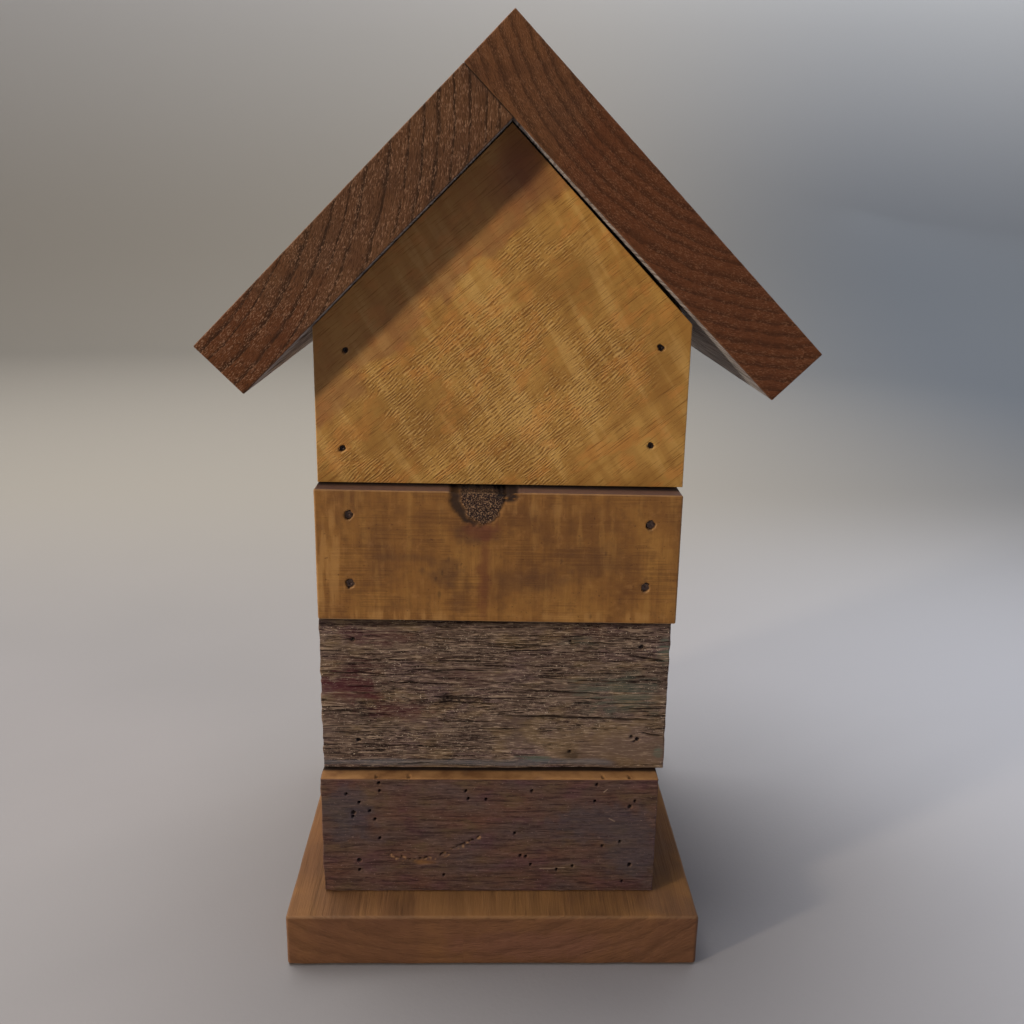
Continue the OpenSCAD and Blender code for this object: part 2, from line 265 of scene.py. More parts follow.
class Tree:
    """One material's node tree. Each method adds nodes and returns the socket that holds their result."""

    def __init__(self, name, specular=0.25):
        self.material = bpy.data.materials.new(name)
        self.material.use_nodes = True
        self.nodes = self.material.node_tree.nodes
        self.shader = self.nodes["Principled BSDF"]
        self.shader.inputs["Specular IOR Level"].default_value = specular
        self.place = self.add("ShaderNodeTexCoord").outputs["Object"]

    def add(self, kind, inputs=(), **settings):
        node = self.nodes.new(kind)
        for key, value in settings.items():
            setattr(node, key, value)
        for key, value in dict(inputs).items():
            if isinstance(value, bpy.types.NodeSocket):
                self.material.node_tree.links.new(value, node.inputs[key])
            else:
                node.inputs[key].default_value = value
        return node

    def noise(self, size, turn=(0, 0, 0), seed=0, detail=3, roughness=0.55, at=None):
        """Noise about 0.5 in blots of size millimetres, turned by degrees. at replaces the place."""
        inputs = {"Vector": at or self.place, "Location": (seed * 0.31, seed * 0.17, seed * 0.23),
                  "Rotation": [math.radians(a) for a in turn], "Scale": [s * MM for s in size]}
        spread = self.add("ShaderNodeMapping", inputs, vector_type="TEXTURE").outputs[0]
        inputs = {"Vector": spread, "Scale": 1, "Detail": detail, "Roughness": roughness}
        return self.add("ShaderNodeTexNoise", inputs).outputs["Fac"]

    def math(self, operation, a, b=0, c=0):
        return self.add("ShaderNodeMath", {0: a, 1: b, 2: c}, operation=operation).outputs[0]

    def step(self, value, low, high):
        """0 where value is at low, 1 where it is at high, smooth between. low may be the larger."""
        inputs = {"Value": value, "From Min": low, "From Max": high}
        return self.add("ShaderNodeMapRange", inputs, interpolation_type="SMOOTHSTEP").outputs[0]

    def mask(self, name):
        return self.add("ShaderNodeAttribute", attribute_name=name).outputs["Fac"]

    def ramp(self, value, *stops):
        """A colour for a value, from (value, colour) stops."""
        node = self.add("ShaderNodeValToRGB", {"Fac": value})
        elements = node.color_ramp.elements
        while len(elements) < len(stops):
            elements.new(0.5)
        for element, (place, colour) in zip(elements, stops):
            element.position = place
            element.color = stain(*colour)
        return node.outputs[0]

    def mix(self, share, a, b):
        """Colour a where share is 0 and colour b where it is 1. Plain colours are 0 to 255."""
        a, b = [stain(*c) if isinstance(c, tuple) else c for c in (a, b)]
        return self.add("ShaderNodeMix", {0: share, 6: a, 7: b}, data_type="RGBA").outputs[2]

    def lay(self, under, colour, share, value, low=0.0, high=1.0):
        """Colour over under, share thick where value is at high and absent where it is at low."""
        return self.mix(self.math("MULTIPLY", self.step(value, low, high), share), under, colour)

    def bend(self, amount, size, seed):
        """The place shifted up and down by up to amount, in waves of that size, all in millimetres."""
        wave = self.math("MULTIPLY", self.math("SUBTRACT", self.noise(size, seed=seed), 0.5), 2 * amount * MM)
        shift = self.add("ShaderNodeCombineXYZ", {2: wave}).outputs[0]
        return self.add("ShaderNodeVectorMath", {0: self.place, 1: shift}, operation="ADD").outputs[0]

    def ripple(self, pitch, turn, shift):
        """Straight waves from -1 to 1 along the turned Z axis. shift moves them, in waves."""
        turned = [math.radians(a) for a in turn]
        inputs = {"Vector": self.place, "Rotation": turned, "Scale": [pitch * MM] * 3}
        spread = self.add("ShaderNodeMapping", inputs, vector_type="TEXTURE").outputs[0]
        across = self.add("ShaderNodeSeparateXYZ", {0: spread}).outputs[2]
        return self.math("SINE", self.math("MULTIPLY", self.math("ADD", across, shift), 2 * math.pi))

    def polar(self, pith, grain):
        """The place as (distance from the pith line, along the grain, round the pith), in metres."""
        inputs = {0: self.place, 1: [c * MM for c in pith]}
        away = self.add("ShaderNodeVectorMath", inputs, operation="SUBTRACT")
        parts = self.add("ShaderNodeSeparateXYZ", {0: away.outputs[0]}).outputs
        a, b = [parts[k] for k in range(3) if "xyz"[k] != grain]
        radius = self.math("SQRT", self.math("MULTIPLY_ADD", a, a, self.math("MULTIPLY", b, b)))
        reach = max(abs(c) for c in pith) * MM
        arc = self.math("MULTIPLY", self.math("ARCTAN2", a, b), reach)
        along = parts["xyz".index(grain)]
        return self.add("ShaderNodeCombineXYZ", {0: radius, 1: along, 2: arc}).outputs[0], radius

    def finish(self, colour, height, roughness):
        """Height is in millimetres."""
        links = self.material.node_tree.links
        bump = self.add("ShaderNodeBump", {"Height": height, "Distance": MM, "Strength": 1.0})
        links.new(colour, self.shader.inputs["Base Color"])
        links.new(roughness, self.shader.inputs["Roughness"])
        links.new(bump.outputs[0], self.shader.inputs["Normal"])
        return self.material


def golden_sawn(name, lean):
    """Rough-sawn honey pine. lean is the saw marks' angle above level, seen from outside, in degrees."""
    t = Tree(name)
    turn = (0, -lean, 0)
    soft = t.noise((26, 26, 18), turn, seed=1, detail=3)
    bands = t.noise((50, 30, 2.6), turn, seed=2, detail=2)
    cross = t.noise((5, 30, 40), (0, 8 - lean, 0), seed=41, detail=2)
    lines = t.noise((9, 6, 0.3), turn, seed=3, detail=3, roughness=0.6)
    drift = t.math("MULTIPLY", t.noise((11, 11, 4), turn, seed=4, detail=2), 3.0)
    breaks = t.noise((1.4, 4, 0.8), (0, -lean - 4, 0), seed=5, detail=2)
    dashes = t.math("MULTIPLY", t.ripple(0.88, (0, -lean - 3, 0), drift), t.step(breaks, 0.4, 0.54))
    warm = t.noise((8, 8, 5), turn, seed=6, detail=3)
    torn = t.mask("torn")
    base = t.ramp(soft, (0.3, (164, 121, 57)), (0.5, (183, 138, 68)), (0.7, (197, 153, 80)))
    base = t.lay(base, (156, 108, 46), 0.4, bands, 0.5, 0.66)
    base = t.lay(base, (152, 104, 46), 0.35, cross, 0.5, 0.64)
    base = t.lay(base, (224, 182, 108), 0.35, cross, 0.48, 0.34)
    base = t.lay(base, (204, 136, 66), 0.4, warm, 0.5, 0.64)
    base = t.lay(base, (146, 106, 48), 0.5, t.mask("brown"))
    # painted shade: a darker, purplish tint in the roof's shadow along the left slope
    base = t.lay(base, (132, 84, 60), 0.45, t.mask("shadow_band"))
    base = t.lay(base, (108, 66, 24), 0.6, lines, 0.55, 0.67)
    # Partly painted light: each saw-mark ripple's dark half is painted shade and its light half a painted
    # highlight, over real torn grain.
    rough = t.math("MULTIPLY", dashes, t.math("MULTIPLY_ADD", torn, 0.85, 0.15))
    base = t.lay(base, (100, 58, 18), 0.62, rough, 0.1, 0.9)
    base = t.lay(base, (244, 200, 124), 0.4, rough, -0.1, -0.9)
    # painted shade just under the apex
    base = t.lay(base, (104, 56, 42), 0.65, t.mask("stain"))
    # painted highlight along the rounded edges
    base = t.lay(base, (222, 184, 128), 0.4, t.mask("arris"))
    base = t.lay(base, (26, 14, 8), 1.0, t.mask("dark"))
    height = t.math("ADD", t.math("MULTIPLY", rough, -0.05), t.math("MULTIPLY", lines, -0.12))
    return t.finish(base, height, t.step(soft, -0.9, 1.4))


def knotty_pine(name):
    """Planed and stained pine with faint chatter marks, blotches and knots."""
    t = Tree(name, 0.3)
    soft = t.noise((24, 24, 16), seed=6, detail=4, roughness=0.6)
    wide = t.noise((3.6, 3.6, 26), seed=7, detail=3)
    upright = t.noise((0.8, 0.8, 12), seed=8, detail=3)
    dashes = t.noise((26, 26, 0.34), seed=9, detail=3, roughness=0.5)
    zones = t.noise((14, 14, 9), seed=36, detail=2)
    mottle = t.noise((3, 3, 3.4), seed=10, detail=4, roughness=0.7)
    base = t.ramp(soft, (0.3, (118, 78, 37)), (0.5, (141, 97, 45)), (0.72, (165, 119, 58)))
    base = t.lay(base, (104, 66, 32), 0.25, wide, 0.48, 0.66)
    base = t.lay(base, (182, 136, 70), 0.3, wide, 0.46, 0.32)
    base = t.lay(base, (100, 61, 29), 0.18, upright, 0.5, 0.68)
    chatter = t.math("MULTIPLY", dashes, t.step(zones, 0.36, 0.6))
    base = t.lay(base, (84, 50, 24), 0.3, chatter, 0.42, 0.56)
    base = t.lay(base, (92, 61, 34), 0.3, mottle, 0.5, 0.7)
    base = t.lay(base, (170, 124, 70), 0.3, mottle, 0.46, 0.3)
    base = t.lay(base, (184, 138, 78), 0.5, t.math("MULTIPLY", t.mask("light"), t.step(wide, 0.6, 0.42)))
    base = t.lay(base, (82, 54, 36), 0.6, t.mask("blotch"))
    base = t.lay(base, (104, 52, 36), 0.55, t.mask("red"))
    base = t.lay(base, (74, 42, 22), 0.6, t.noise((1.0, 1.0, 0.8), seed=11, detail=1), 0.7, 0.8)
    grains = t.noise((0.5, 0.5, 0.45), seed=12, detail=2, roughness=0.7)
    core = t.ramp(grains, (0.4, (38, 22, 17)), (0.52, (70, 45, 33)), (0.6, (172, 136, 100)))
    base = t.mix(t.mask("knot"), base, core)
    # painted highlight along the rounded edges
    base = t.lay(base, (188, 150, 104), 0.4, t.mask("arris"))
    # the top face is painted grey-mauve
    base = t.lay(base, (112, 92, 88), 0.7, t.mask("grey_top"))
    base = t.lay(base, (22, 16, 16), 1.0, t.mask("dark"))
    height = t.math("ADD", t.math("MULTIPLY", dashes, 0.15), t.math("MULTIPLY", upright, 0.08))
    height = t.math("ADD", height, t.math("MULTIPLY", t.math("MULTIPLY", grains, 0.8), t.mask("knot")))
    return t.finish(base, height, t.step(soft, -0.9, 1.3))


def weathered_grey(name):
    """Grey barn wood with raised wavy fibres, cracks and remains of paint."""
    t = Tree(name, 0.15)
    bent = t.bend(1.4, (30, 30, 10), 37)
    soft = t.noise((20, 20, 9), seed=13, detail=3)
    other = t.noise((15, 15, 8), seed=14, detail=3)
    zones = t.noise((22, 22, 9), seed=42, detail=2)
    streak = t.noise((22, 22, 1.0), seed=15, detail=4, roughness=0.65, at=bent)
    seams = t.noise((15, 15, 0.5), seed=43, detail=2, roughness=0.5, at=bent)
    fibre = t.noise((2.6, 2.6, 0.3), seed=16, detail=3, roughness=0.6, at=bent)
    grit = t.noise((0.7, 0.7, 0.4), seed=17, detail=2, roughness=0.7)
    rough = t.math("SUBTRACT", 1, t.math("MULTIPLY", t.mask("worn"), 0.8))
    busy = t.math("MULTIPLY", t.step(zones, 0.2, 0.6), rough)
    base = t.ramp(soft, (0.3, (106, 88, 77)), (0.5, (121, 102, 88)), (0.7, (115, 94, 91)))
    base = t.lay(base, (140, 118, 84), 0.6, other, 0.5, 0.66)
    base = t.lay(base, (84, 62, 54), 0.5, t.math("MULTIPLY", streak, rough), 0.49, 0.64)
    base = t.lay(base, (176, 154, 132), 0.45, streak, 0.44, 0.3)
    base = t.lay(base, (34, 23, 20), 0.9, t.math("MULTIPLY", seams, rough), 0.56, 0.63)
    base = t.lay(base, (196, 172, 144), 0.5, seams, 0.42, 0.34)
    base = t.lay(base, (38, 26, 22), 0.8, t.math("MULTIPLY", t.step(fibre, 0.5, 0.61), busy))
    base = t.lay(base, (210, 186, 158), 0.6, fibre, 0.43, 0.31)
    light = t.math("MULTIPLY", t.step(grit, 0.37, 0.29), busy)
    base = t.lay(base, (236, 218, 190), 0.9, light)
    uneven = t.step(streak, 0.36, 0.54)
    base = t.lay(base, (86, 36, 46), 0.7, t.math("MULTIPLY", t.mask("red"), t.step(streak, 0.3, 0.46)))
    base = t.lay(base, (100, 110, 96), 0.8, t.math("MULTIPLY", t.mask("green"), uneven))
    base = t.lay(base, (112, 90, 72), 0.5, t.mask("worn"))
    base = t.lay(base, (110, 112, 116), 0.6, t.mask("blue"))
    # painted highlight along the rounded edges
    base = t.lay(base, (150, 120, 94), 0.3, t.mask("arris"))
    base = t.lay(base, (20, 12, 11), 1.0, t.mask("dark"))
    height = t.math("ADD", t.math("MULTIPLY", seams, -0.6), t.math("MULTIPLY", fibre, -0.3))
    return t.finish(base, t.math("MULTIPLY", height, rough), t.step(streak, -1.6, 0.6))


def wormy_dark(name):
    """Dark aged wood with blue-grey bloom, insect holes and a raw sawn edge."""
    t = Tree(name, 0.2)
    bent = t.bend(1.0, (24, 24, 8), 38)
    soft = t.noise((20, 20, 9), seed=18, detail=3)
    other = t.noise((14, 14, 8), seed=39, detail=3)
    streak = t.noise((11, 11, 0.8), seed=19, detail=5, roughness=0.7, at=bent)
    fibre = t.noise((3, 3, 0.4), seed=20, detail=3, at=bent)
    grit = t.noise((0.8, 0.8, 0.5), seed=40, detail=2, roughness=0.7)
    base = t.ramp(soft, (0.32, (102, 71, 58)), (0.5, (96, 73, 62)), (0.7, (90, 74, 70)))
    base = t.lay(base, (102, 83, 58), 0.6, other, 0.5, 0.66)
    base = t.lay(base, (92, 60, 66), 0.5, other, 0.48, 0.34)
    base = t.lay(base, (50, 34, 32), 0.7, streak, 0.49, 0.63)
    base = t.lay(base, (134, 108, 94), 0.35, streak, 0.46, 0.32)
    base = t.lay(base, (74, 70, 76), 0.5, t.mask("bloom"))
    base = t.lay(base, (46, 30, 28), 0.5, fibre, 0.53, 0.68)
    base = t.lay(base, (138, 112, 98), 0.4, fibre, 0.43, 0.3)
    base = t.lay(base, (176, 150, 134), 0.5, grit, 0.33, 0.26)
    base = t.lay(base, (40, 24, 22), 0.5, grit, 0.64, 0.72)
    raw = t.ramp(t.noise((9, 9, 2), seed=21, detail=4), (0.34, (122, 84, 48)), (0.62, (166, 122, 74)))
    base = t.mix(t.mask("raw"), base, raw)
    base = t.lay(base, (190, 166, 140), 1.0, t.mask("scratch"))
    # painted highlight along the rounded edges
    base = t.lay(base, (130, 96, 72), 0.3, t.mask("arris"))
    base = t.lay(base, (16, 10, 9), 1.0, t.mask("dark"))
    height = t.math("ADD", t.math("MULTIPLY", streak, -0.3), t.math("MULTIPLY", fibre, -0.25))
    return t.finish(base, height, t.step(soft, -1.6, 0.8))


def stained_board(name, pith, spacing, dark, mid, light, ruddy=(110, 60, 38), grain="y", late=0.7, crisp=0.5,
                  flecks=0.4, wobble=0.6, rough=0.5):
    """Stained softwood whose growth rings run right through the board, so its ends show end grain.

    pith is a point of the rings' centre line and spacing their distance, in millimetres. late and
    crisp say how dark and how narrow the late wood is, flecks and rough how strongly the pale pores
    of the sawn ends and the fibres show.
    """
    t = Tree(name, 0.12)
    polar, radius = t.polar(pith, grain)
    bent = t.math("MULTIPLY", t.noise((16, 160, 16), seed=22, detail=3, at=polar), wobble)
    uneven = t.math("MULTIPLY", t.noise((spacing * 1.7, 900, 900), seed=23, detail=1, at=polar), 1.4)
    phase = t.math("ADD", t.math("MULTIPLY_ADD", radius, 1 / (spacing * MM), bent), uneven)
    ring = t.math("FRACT", phase)
    line = t.math("MULTIPLY", t.step(ring, 0.8 * crisp, 0.9), t.step(ring, 1.0, 0.75 + 0.18 * crisp))
    broken = t.noise((1.6, 60, 12), seed=24, detail=3, roughness=0.7, at=polar)
    line = t.math("MULTIPLY", line, t.step(broken, 0.26, 0.5))
    soft = t.noise((20, 26, 20), seed=25, detail=3)
    patches = t.noise((9, 40, 9), seed=29, detail=3)
    fibre = t.noise((0.36, 40, 5), seed=26, detail=4, roughness=0.7, at=polar)
    pores = t.noise((0.24, 7, 2.2), seed=27, detail=1, at=polar)
    pores = t.math("MULTIPLY", t.step(pores, 0.54, 0.66), t.step(patches, 0.3, 0.56))
    pores = t.math("MULTIPLY", pores, t.mask("ends"))
    ink = tuple(int(c * 0.45) for c in dark)
    pale = tuple(int(c * 1.1 + 38) for c in light)
    base = t.ramp(soft, (0.32, dark), (0.5, mid), (0.7, light))
    base = t.lay(base, ruddy, 0.85, t.mask("ruddy"))
    # painted light on the top face where the lit_top mask is set
    base = t.lay(base, light, 0.6, t.mask("lit_top"))
    base = t.lay(base, ink, late, line)
    base = t.lay(base, ink, rough, fibre, 0.5, 0.68)
    base = t.lay(base, pale, rough * 0.3, fibre, 0.45, 0.3)
    base = t.lay(base, pale, flecks, pores)
    raw = t.ramp(fibre, (0.35, (196, 194, 192)), (0.5, (152, 147, 145)), (0.64, (86, 79, 79)))
    base = t.mix(t.mask("raw"), base, raw)
    # painted highlight along the rounded edges
    base = t.lay(base, (168, 140, 112), 0.12, t.mask("arris"))
    base = t.lay(base, (18, 11, 8), 1.0, t.mask("dark"))
    height = t.math("ADD", t.math("MULTIPLY", line, -0.1), t.math("MULTIPLY", fibre, -0.4))
    return t.finish(base, height, t.step(soft, -0.9, 1.2))


def steel(name, colour, rust, smoothest):
    """Dull steel with pits and rust spots. smoothest is about its roughness where it is least worn."""
    t = Tree(name, 0.5)
    t.shader.inputs["Metallic"].default_value = 0.6
    worn = t.noise((0.7, 0.7, 0.7), seed=28, detail=4)
    base = t.ramp(worn, (0.42, colour), (0.64, rust))
    return t.finish(base, t.math("MULTIPLY", worn, 0.12), t.step(worn, 0.3 - smoothest, 1.2))


# ---------------------------------------------------------------- how each board is worn

def sound(seed):
    """A sound upright board: faint fibres and slightly uneven edges."""
    def detail(u, v, n, out):
        sides = 1 - np.abs(out[:, 2])
        fibres = 0.05 * (1 + rough(v / 14, u / 0.9, seed))
        depth = fibres + 0.15 * sides * (1 + noise(u / 9, v / 9 + n / 7, seed + 5))
        return depth * 0.5, {}
    return detail


def gable(u, v, n, out):
    """Saw marks that climb to the right: rough in the middle, smooth near the edges, painted shade at the
    peak.
    """
    face = np.clip(out[:, 2], 0, 1)
    lean = math.radians(SAW_LEAN)
    along = u * math.cos(lean) + v * math.sin(lean)
    across = -u * math.sin(lean) + v * math.cos(lean)
    torn = smooth(0.9 + 1.0 * rough(along / 12, across / 9, 31))
    torn = torn * smooth(1.5 - np.hypot((u + 4) / 52, (v - 193) / 50) ** 2 + 0.35 * rough(u / 12, v / 12, 35))
    torn = torn * smooth(1.0 - (u - v * 0.75 + 115) / 34 + 0.4 * rough(u / 10, v / 10, 36))
    # shadow_band: the strip along the left slope where the roof's shadow falls; its saw marks are smoothed
    # and it gets painted shade.
    shadow_band = smooth((v - u - 236 + 5 * rough(u / 8, v / 8, 33)) / 8)
    torn = torn * (1 - 0.9 * shadow_band)
    stroke = noise(along / 3, across / 0.9, 32)
    depth = face * (0.06 + 0.04 * torn * (1 + stroke)) + 0.03 * (1 - face) * (1 + noise(u / 6, v / 6, 34))
    # painted shade: a dark reddish blot just under the roof's apex
    stain = np.exp(-((u - 5) / 9) ** 2 - ((v - 261) / 12) ** 2)
    brown = blot(u, v, (-32, 184), (34, 26), 37) + 0.8 * blot(u, v, (22, 228), (16, 22), 30)
    brown = brown + 0.7 * blot(u, v, (2, 176), (26, 10), 29)
    return depth, {"torn": torn, "stain": stain * face, "brown": np.clip(brown, 0, 1) * face,
                   "shadow_band": shadow_band * face}


def rear_upper(u, v, n, out):
    """A half knot at the top edge, dark flecks and a reddish streak under the knot."""
    face = np.clip(out[:, 2], 0, 1)
    up = np.clip(out[:, 1], 0, 1)
    front = np.clip(face + up, 0, 1)
    # painted shade at the back of the top face, in the gap under the gable panel
    gap_shade = up * smooth((57.6 - n) / 1.2)
    du = u + 6.2
    dv = np.minimum(v - 163.6, 0) - np.where(up > 0.7, 1.5, 0)
    edge = 0.07 * rough(u / 1.5, v / 1.5, 40)
    whole = smooth((1 + edge - np.hypot(du / 9, dv / 11.3)) * 5 + 0.5)
    core = smooth((1 + edge - np.hypot((du - 1.4) / 6.9, dv / 10.3)) * 5 + 0.5)
    rim = np.clip(whole - core, 0, 1)
    left = smooth((1.5 - du) / 6 + 0.35 + 0.3 * rough(u / 1.6, v / 1.6, 41))
    spike = smooth((14.6 - du - 1.1 * np.abs(dv + 1.6)) / 3) * smooth((du - 4.5) / 2) * smooth((4 + dv) / 1.5)
    spike = spike * smooth(1.1 + rough(u / 2, v / 0.8, 39))
    dark = np.maximum.reduce([rim * (0.2 + 0.55 * left), 0.8 * spike, 0.2 * core, 0.45 * core * up])
    for at, size in (((-17.4, 137), 0.8), ((-19.6, 135), 0.6), ((-18.4, 129.6), 0.9), ((-15.4, 141.6), 0.5),
                     ((-12.8, 138.6), 0.6), ((20.6, 141.2), 0.6), ((34.6, 143.8), 0.6), ((30.4, 122.3), 0.6)):
        fleck = smooth((size - np.hypot((u - at[0]) / 0.7, (v - at[1]) / 1.5)) / 1.2 + 0.5)
        dark = np.maximum(dark, 0.45 * fleck * face)
    blotch = 0.6 * blot(u, v, (-17.5, 137), (13, 9), 42) + 0.4 * blot(u, v, (-12, 128), (8, 18), 43)
    blotch = blotch + 0.4 * blot(u, v, (-38, 146), (12, 26), 44) + 0.4 * blot(u, v, (35, 141), (34, 14), 45)
    blotch = blotch + 0.25 * blot(u, v, (4, 138), (64, 26), 30)
    blotch = blotch + 0.4 * blot(u, v, (10, 134), (30, 9), 38) + 0.7 * blot(u, v, (-7, 150), (17, 7), 37)
    blotch = blotch + 0.4 * blot(u, v, (-30, 142), (26, 3), 33) + 0.3 * blot(u, v, (-34, 124), (20, 8), 36)
    red = 0.8 * blot(u, v, (-5, 151), (13, 6), 46) + 0.7 * blot(u, v, (-4, 136), (5, 34), 47)
    pale = smooth((u + 49) / -8) + smooth((u - 50) / 7) + smooth((124.5 - v) / 4)
    light = blot(u, v, (-54, 142), (12, 50), 34) + blot(u, v, (-30, 122), (40, 6), 35)
    light = light + 0.7 * blot(u, v, (30, 122), (60, 4), 32) + 0.5 * blot(u, v, (12, 158), (60, 6), 31)
    depth = face * (0.04 * (1 + rough(u / 20, v / 1.2, 48)) + 0.05 * noise(u / 1.8, v / 60, 49))
    depth = depth + front * (0.5 * rim + 0.25 * core * (1 + 0.8 * noise(u / 0.8, v / 0.8, 50)) + 0.4 * spike)
    depth = depth + 0.05 * (1 - face) * (1 + noise(u / 8, v / 8 + n / 6, 51))
    dark = np.maximum(dark * front, 0.8 * gap_shade)
    return depth, {"dark": dark, "knot": core * front, "red": np.clip(red, 0, 1) * face,
                   "blotch": np.clip(blotch - 0.8 * pale, 0, 1) * face, "light": np.clip(light, 0, 1) * face,
                   "grey_top": smooth(5 * up - 4) * (1 - whole)}


# long cracks of the rear middle board: (u, v) of both ends, and width
MIDDLE_CRACKS = (
    ((-50, 103.9), (-33, 103.3), 0.5), ((-57, 98.8), (-38, 98.4), 0.6), ((-32, 99.8), (-2, 99.4), 0.6),
    ((-36, 95.2), (-12, 94.6), 0.5), ((-22, 89.8), (2, 89.2), 0.6), ((-22, 87.8), (2, 87.3), 0.5),
    ((-20, 81), (-4, 80.6), 0.5), ((-3, 78.4), (9, 78), 0.5), ((1, 83.1), (57.5, 81.4), 0.8),
    ((42, 108), (51, 107.8), 0.5), ((44, 105.5), (57, 103.5), 0.7), ((50, 96.2), (57.5, 95.8), 0.5),
    ((45, 85.9), (58, 85.6), 0.6), ((50, 76.8), (58, 75.6), 0.6), ((-50, 72), (-24, 71.6), 0.45),
    ((-8, 109.3), (22, 108.6), 0.45), ((10, 92), (38, 91.2), 0.5), ((-58, 84.8), (-45, 84.3), 0.6))


def checks(u, v, count, seed, low, high):
    """Fine short cracks along u, scattered at random."""
    draw = np.random.default_rng(seed)
    total = np.zeros(len(u))
    for k in range(count):
        start = draw.uniform(low, high)
        length = draw.uniform(4, 18)
        end = start + (length, draw.uniform(-0.4, 0.2))
        width = draw.uniform(0.25, 0.5)
        near = (np.abs(v - start[1]) < 1.5) & (u > start[0]) & (u < end[0])
        total[near] = np.maximum(total[near], crack(u[near], v[near], start, end, width, seed + k))
    return total


def rear_middle(u, v, n, out):
    """Raised fibres, long cracks, a small knot, old paint, a notch and a wavy lower edge."""
    face = np.clip(out[:, 2], 0, 1)
    fibre = rough(u / 16, v / 0.6, 61, 4)
    ridge = rough(u / 45, v / 3, 65)
    worn = 0.65 * smooth(1.3 - 0.8 * np.hypot((u - 42) / 26, (v - 72) / 9) + 0.5 * rough(u / 7, v / 3, 64))
    cracks = checks(u, v, 110, 67, (-58, 64), (54, 119)) * (1 - worn)
    for k, (start, end, width) in enumerate(MIDDLE_CRACKS):
        cracks = np.maximum(cracks, crack(u, v, start, end, 1.3 * width, 70 + k))
    knot = blot(u, v, (-16, 89.5), (7, 5), 72) * (0.8 + 0.2 * np.sin(np.hypot(u + 16, v - 89.5) * 5))
    spots = np.zeros(len(u))
    for at, size in (((49, 108.6), 0.6), ((47, 75.2), 0.6), ((48, 73.4), 0.45), ((-47.4, 110.6), 0.5),
                     ((25, 110.3), 0.5), ((26, 69.5), 0.6)):
        spots = np.maximum(spots, spot(u, v, at, size, 0.6))
    low = 63.2 + 0.4 * smooth(1 - np.abs(u - 24) / 18)
    # painted shadow along the top of the face, under the upper board's overhang
    shade = 0.6 * smooth((v - 114.4 - 0.6 * noise(u / 5, 0.5 * v, 63)) / 1.8)
    dark = np.maximum.reduce([0.9 * cracks, 0.9 * knot, 0.85 * spots, shade]) * face
    dark = np.maximum(dark, 0.5 * blot(u, v, (26, 68.5), (9, 4), 62) * face)
    red = blot(u, v, (-50, 93), (24, 11), 73) + 0.6 * blot(u, v, (-33, 85), (26, 8), 74)
    red = red + 0.5 * blot(u, v, (-40, 112), (30, 8), 60) + 0.4 * blot(u, v, (-46, 101), (24, 8), 59)
    red = red + 0.3 * blot(u, v, (30, 112), (26, 8), 58) + 0.3 * blot(u, v, (-8, 97), (24, 10), 57)
    green = blot(u, v, (57, 107), (6, 10), 75) + blot(u, v, (56.5, 69), (4, 6), 76)
    green = green + blot(u, v, (13, 67), (14, 3), 77)
    green = green + 0.6 * blot(u, v, (42, 91), (36, 18), 56) + 0.5 * blot(u, v, (28, 110), (22, 5), 55)
    blue = smooth(1 - np.abs(v - low - 2.2) / 2.2 + 0.2 * noise(u / 7, 0.5 * v, 54)) * smooth((44 - u) / 6)
    depth = face * (0.3 + 0.14 * fibre * (1 - worn) + 0.12 * ridge + 0.7 * cracks + 0.4 * knot + 0.7 * spots)
    left = np.clip(-out[:, 0], 0, 1)
    below = np.clip(-out[:, 1], 0, 1)
    notch = smooth(1 - np.abs(v - 93) / 2.6) * smooth((-56.2 - u) / 1.5)
    corner = smooth((70 - v) / 6) * smooth((-53 - u) / 5)
    depth = depth + left * (0.3 + 0.35 * noise(v / 2.2, n / 3, 78) + 1.4 * notch + 1.2 * corner)
    raised = smooth(1 - np.abs(u - 24) / 17)
    depth = depth + below * (0.15 + 0.2 * noise(u / 6, n / 40, 79) + 1.2 * raised + 1.0 * corner)
    depth = depth + 0.2 * np.clip(out[:, 0] + out[:, 1], 0, 1) * (1 + noise((u + v) / 3, n / 3, 80))
    return depth, {"dark": dark, "worn": worn, "red": np.clip(red, 0, 1) * face,
                   "green": np.clip(green, 0, 1) * face, "blue": blue * face}


# insect holes of the rear lower board
WORM_HOLES = (
    (-39, 61.2), (-38.8, 58.3), (-50.1, 57), (-45.8, 54), (-42.3, 50.7), (-48, 48.5), (-40.5, 47.5),
    (-39, 40.1), (-9.5, 58.3), (-8.7, 55.4), (-2.7, 55.2), (-17.1, 25.5), (-46.2, 27.6), (12.9, 58.4),
    (35, 60.8), (34.5, 54.5), (37.7, 37.2), (9.4, 33.4), (11.3, 33), (13, 29.9), (22.1, 27.8),
    (27.6, 29.3), (45.2, 23.2), (7.3, 42.1), (48.3, 54.7), (43.7, 38.8))
WORM_TRACK = ((-36, 33.6), (-28, 32.1), (-21.4, 32.6), (-17.6, 33.6), (-13.9, 36.1), (-10.8, 37.6),
              (-5, 40.6))


